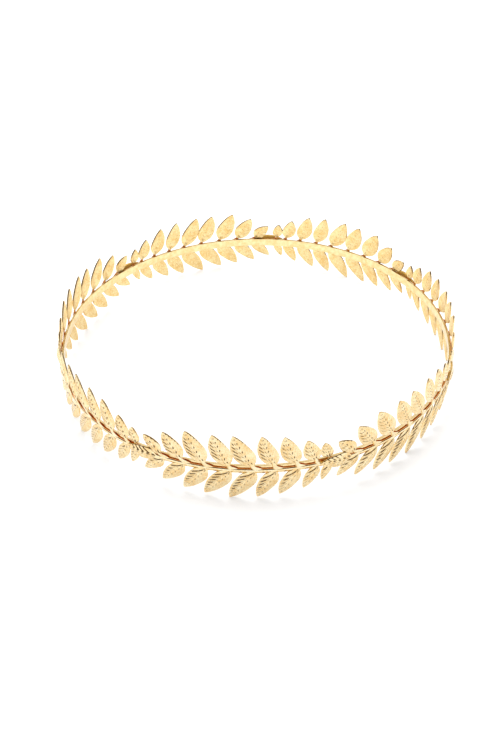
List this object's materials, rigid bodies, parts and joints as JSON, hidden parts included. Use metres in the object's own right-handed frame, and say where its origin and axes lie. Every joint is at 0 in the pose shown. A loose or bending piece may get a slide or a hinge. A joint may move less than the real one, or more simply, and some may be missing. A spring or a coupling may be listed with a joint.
{
  "type": "laurel wreath crown",
  "caption": "Closed circlet: a plain flat hoop with gold-coloured laurel sprigs end to end round its outside, standing on the tips of the lower leaves.",
  "frame": {"origin": "on the hoop's axis, in the plane that the lowest leaf tips stand on", "axes": "+Z along the hoop's axis, up towards the tips of the upper leaves; -Y is the side that faces the picture's camera"},
  "size_m": [0.1572, 0.1572, 0.0279],
  "materials": {
    "hoop": "pale gold plating, smooth, plain",
    "sprigs": "gold plating, bright, with raised midribs and side veins on the leaves"
  },
  "bodies": {
    "root": {"band": "hoop", "sprig_1": "sprigs", "sprig_2": "sprigs", "sprig_3": "sprigs", "sprig_4": "sprigs", "sprig_5": "sprigs", "sprig_6": "sprigs", "sprig_7": "sprigs"}
  },
  "joints": []
}
